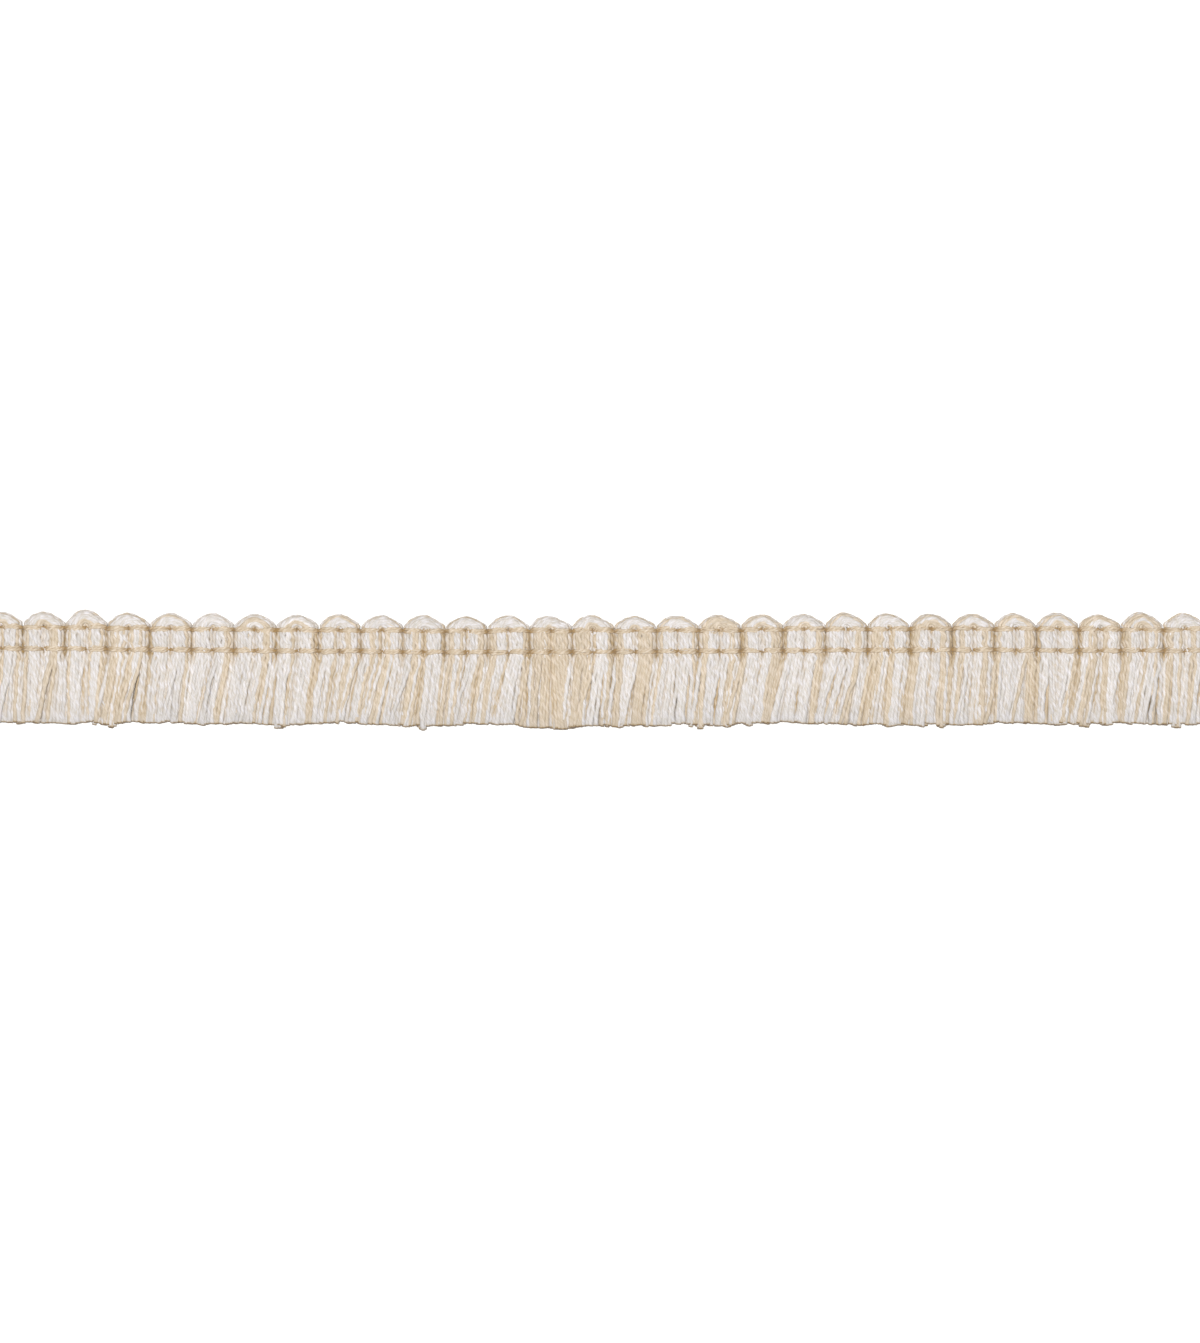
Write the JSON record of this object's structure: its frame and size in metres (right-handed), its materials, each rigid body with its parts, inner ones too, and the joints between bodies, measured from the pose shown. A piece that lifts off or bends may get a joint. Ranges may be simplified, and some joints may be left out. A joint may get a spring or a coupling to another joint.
{
  "type": "brush fringe trim",
  "caption": "Straight cut length of two-tone yarn brush fringe with a scalloped heading held by two rows of chain stitch and a cut brush edge.",
  "frame": {"origin": "middle of the back of the trim, on the surface that it lies on", "axes": "+X along the trim, +Y across it towards the scalloped edge, +Z out of its face"},
  "size_m": [0.346, 0.0328, 0.0038],
  "materials": {
    "bundle_yarn": "cream and tan two-ply spun yarn, matt with a slight sheen",
    "stitch_yarn": "tan two-ply stitching yarn, matt"
  },
  "bodies": {
    "root": {"loop_01": "bundle_yarn", "loop_02": "bundle_yarn", "loop_03": "bundle_yarn", "loop_04": "bundle_yarn", "loop_05": "bundle_yarn", "loop_06": "bundle_yarn", "loop_07": "bundle_yarn", "loop_08": "bundle_yarn", "loop_09": "bundle_yarn", "loop_10": "bundle_yarn", "loop_11": "bundle_yarn", "loop_12": "bundle_yarn", "loop_13": "bundle_yarn", "loop_14": "bundle_yarn", "loop_15": "bundle_yarn", "loop_16": "bundle_yarn", "loop_17": "bundle_yarn", "loop_18": "bundle_yarn", "loop_19": "bundle_yarn", "loop_20": "bundle_yarn", "loop_21": "bundle_yarn", "loop_22": "bundle_yarn", "loop_23": "bundle_yarn", "loop_24": "bundle_yarn", "loop_25": "bundle_yarn", "loop_26": "bundle_yarn", "loop_27": "bundle_yarn", "loop_28": "bundle_yarn", "loop_29": "bundle_yarn", "loop_30": "bundle_yarn", "lower_stitch": "stitch_yarn", "upper_stitch": "stitch_yarn"}
  },
  "joints": []
}
